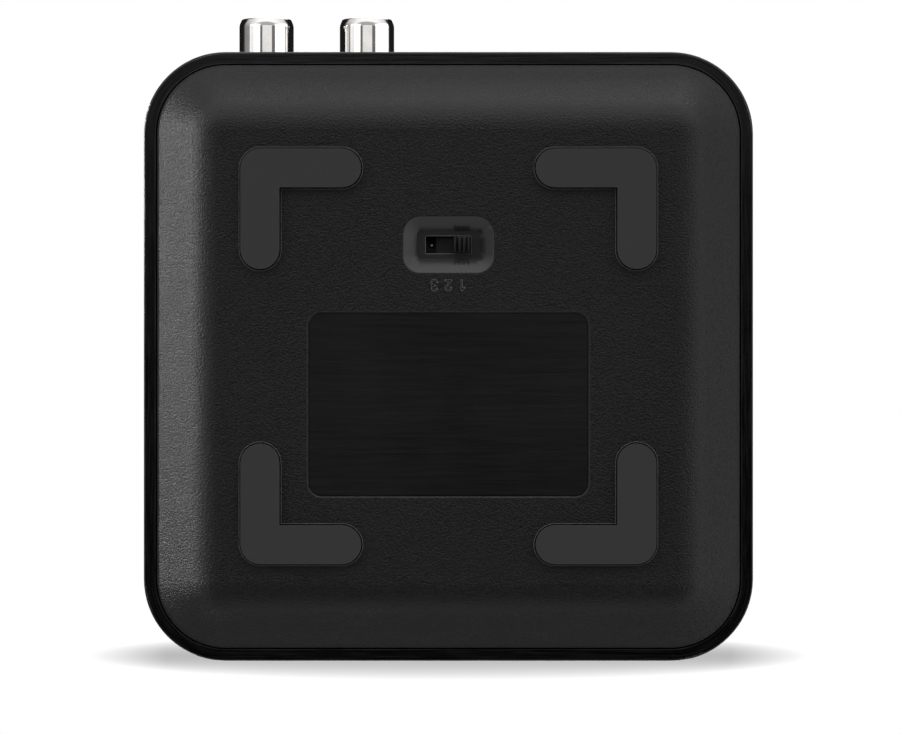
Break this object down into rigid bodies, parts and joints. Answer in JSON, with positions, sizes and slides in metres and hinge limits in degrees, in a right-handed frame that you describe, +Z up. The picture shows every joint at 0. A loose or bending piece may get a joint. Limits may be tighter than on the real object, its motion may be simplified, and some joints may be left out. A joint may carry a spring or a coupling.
{
  "type": "bluetooth audio receiver",
  "caption": "Square rounded desktop audio receiver with phono output jacks at the rear, pairing button on top and a sliding selector underneath.",
  "frame": {"origin": "centre of the whole receiver's footprint, jacks included, on the surface that its feet stand on", "axes": "+Z up, +Y to the rear where the jacks are, +X to the right seen from the front"},
  "size_m": [0.092, 0.0974, 0.0254],
  "materials": {
    "casing_black": "gloss black with fine hairlines round the band",
    "panel_black": "polished black",
    "cover_black": "fine spark texture",
    "panel_satin": "satin black",
    "foot_rubber": "dull grey-black",
    "label_black": "brushed black film, blank",
    "plating": "bright nickel",
    "contact_metal": "tinned brass",
    "insulator_white": "moulded white",
    "insulator_red": "moulded red",
    "jack_black": "moulded black",
    "sheet_steel": "tin plated",
    "screw_steel": "zinc plated",
    "board_green": "solder mask over glass fibre",
    "chip_black": "moulded epoxy",
    "ceramic": "fired ceramic",
    "ferrite": "sintered grey",
    "can_aluminium": "drawn can",
    "lamp_clear": "clear moulded"
  },
  "bodies": {
    "receiver": {"upper_casing": "casing_black", "top_panel": "panel_black", "bottom_cover": "cover_black", "rear_panel": "panel_satin", "foot_rear_right": "foot_rubber", "foot_rear_left": "foot_rubber", "foot_front_right": "foot_rubber", "foot_front_left": "foot_rubber", "rating_label": "label_black", "phono_shell_left": "plating", "phono_shell_right": "plating", "phono_centre_contacts": "contact_metal", "slide_switch_contacts": "contact_metal", "dc_jack_pin": "contact_metal", "dc_jack_spring": "contact_metal", "line_jack_contacts": "contact_metal", "phono_insulator_white": "insulator_white", "phono_insulator_red": "insulator_red", "phono_jack_block": "jack_black", "dc_jack_body": "jack_black", "line_jack_body": "jack_black", "slide_switch_base": "jack_black", "tact_switch_body": "jack_black", "slide_switch_frame": "sheet_steel", "tact_switch_cover": "sheet_steel", "radio_shield_can": "sheet_steel", "case_screws": "screw_steel", "board_screws": "screw_steel", "main_board": "board_green", "radio_module_board": "board_green", "radio_chip": "chip_black", "converter_chip": "chip_black", "amplifier_chip": "chip_black", "regulator_chip": "chip_black", "memory_chip": "chip_black", "small_passives": "chip_black", "chip_antenna": "ceramic", "crystal": "ceramic", "power_inductor": "ferrite", "electrolytic_capacitors": "can_aluminium", "light_pipe": "lamp_clear", "status_led": "lamp_clear"},
    "selector": {"selector_knob": "jack_black", "selector_wiper": "contact_metal"},
    "button": {"pairing_button": "panel_black", "tact_plunger": "jack_black"}
  },
  "joints": [
    {"name": "selector_slide", "type": "slide", "parent": "receiver", "child": "selector", "axis": [1, 0, 0], "range_m": [0, 0.004]},
    {"name": "pairing_press", "type": "slide", "parent": "receiver", "child": "button", "axis": [0, 0, -1], "range_m": [0, 0.0004], "stiffness_N_per_m": 300, "springref_m": -0.0005}
  ]
}
